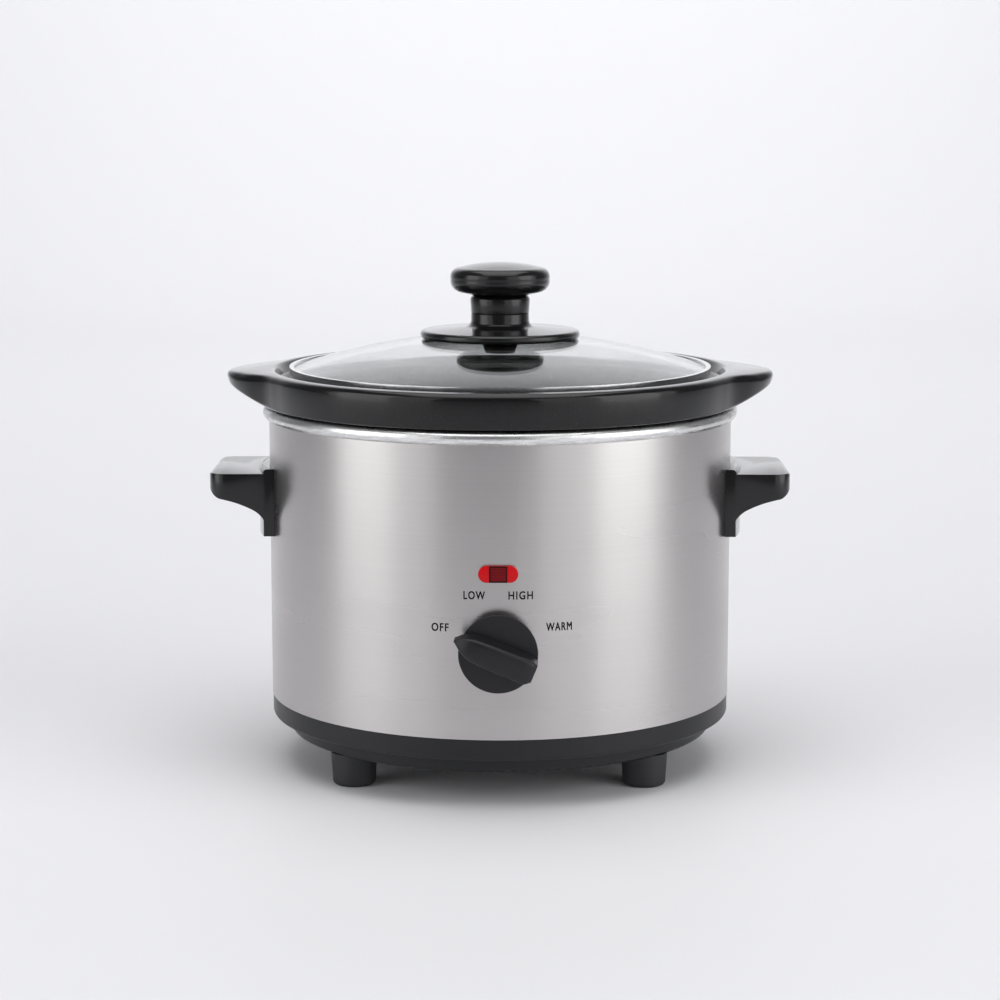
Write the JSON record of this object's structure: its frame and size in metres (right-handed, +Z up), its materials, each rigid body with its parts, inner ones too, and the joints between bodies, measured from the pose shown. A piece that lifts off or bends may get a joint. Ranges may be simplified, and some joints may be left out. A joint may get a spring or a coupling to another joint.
{
  "type": "slow cooker",
  "caption": "Round countertop slow cooker: brushed steel housing, black stoneware crock with side lugs, domed glass lid, side handles, dial with lamp.",
  "frame": {"origin": "on the worktop under the centre of the round housing", "axes": "+Z up, -Y towards the dial, +X to the right seen from the front, along the two side handles"},
  "size_m": [0.2352, 0.2172, 0.2033],
  "materials": {
    "brushed_shell": "brushed stainless",
    "liner_metal": "satin aluminised",
    "black_glaze": "gloss black glaze",
    "lid_glass": "clear tempered",
    "lid_band_steel": "polished stainless",
    "gloss_black": "gloss",
    "matte_black": "satin",
    "foot_rubber": "matte",
    "plated_steel": "zinc plated",
    "brass": "satin",
    "silicone": "matte",
    "black_washer": "satin",
    "red_lens": "translucent red",
    "lamp_glass": "clear",
    "foil": "foil",
    "white_ceramic": "matte",
    "phenolic_brown": "laminate",
    "lead_cover": "glass-braid sleeve"
  },
  "bodies": {
    "housing": {"base_tray": "matte_black", "cord_gland": "matte_black", "earth_screw": "plated_steel", "earth_tag": "brass", "foot_front_left": "foot_rubber", "foot_front_right": "foot_rubber", "foot_rear_left": "foot_rubber", "foot_rear_right": "foot_rubber", "foot_screws": "plated_steel", "fuse_bracket": "plated_steel", "handle_screws": "plated_steel", "heater_band": "foil", "heater_straps": "plated_steel", "heating_liner": "liner_metal", "indicator_lens": "red_lens", "internal_leads": "lead_cover", "lamp_resistor": "white_ceramic", "left_handle": "gloss_black", "left_handle_plate": "plated_steel", "lens_clip": "plated_steel", "liner_strap": "plated_steel", "neon_lamp": "lamp_glass", "outer_shell": "brushed_shell", "right_handle": "gloss_black", "right_handle_plate": "plated_steel", "strap_nut": "plated_steel", "switch_back": "phenolic_brown", "switch_body": "matte_black", "switch_nut": "plated_steel", "switch_terminals": "brass", "terminal_block": "white_ceramic", "terminal_screws": "plated_steel", "thermal_fuse": "white_ceramic", "tie_nut": "plated_steel", "tie_rod": "plated_steel", "tie_washer": "plated_steel"},
    "crock": {"stoneware_crock": "black_glaze"},
    "lid": {"glass_lid": "lid_glass", "lid_rim_band": "lid_band_steel", "lid_knob": "gloss_black", "knob_skirt": "gloss_black", "knob_insert": "brass", "lid_screw": "plated_steel", "lid_washer": "black_washer", "lid_seals": "silicone"},
    "dial": {"control_knob": "matte_black", "switch_shaft": "brass", "switch_rotor": "matte_black", "knob_clip": "plated_steel"}
  },
  "joints": [
    {"name": "crock_lift", "type": "slide", "parent": "housing", "child": "crock", "axis": [0, 0, 1], "range_m": [0, 0.09]},
    {"name": "lid_lift", "type": "slide", "parent": "crock", "child": "lid", "axis": [0, 0, 1], "range_m": [0, 0.06]},
    {"name": "dial_turn", "type": "hinge", "parent": "housing", "child": "dial", "pos_m": [0, -0.094, 0.0625], "axis": [0, 1, 0], "range_deg": [0, 135]}
  ]
}
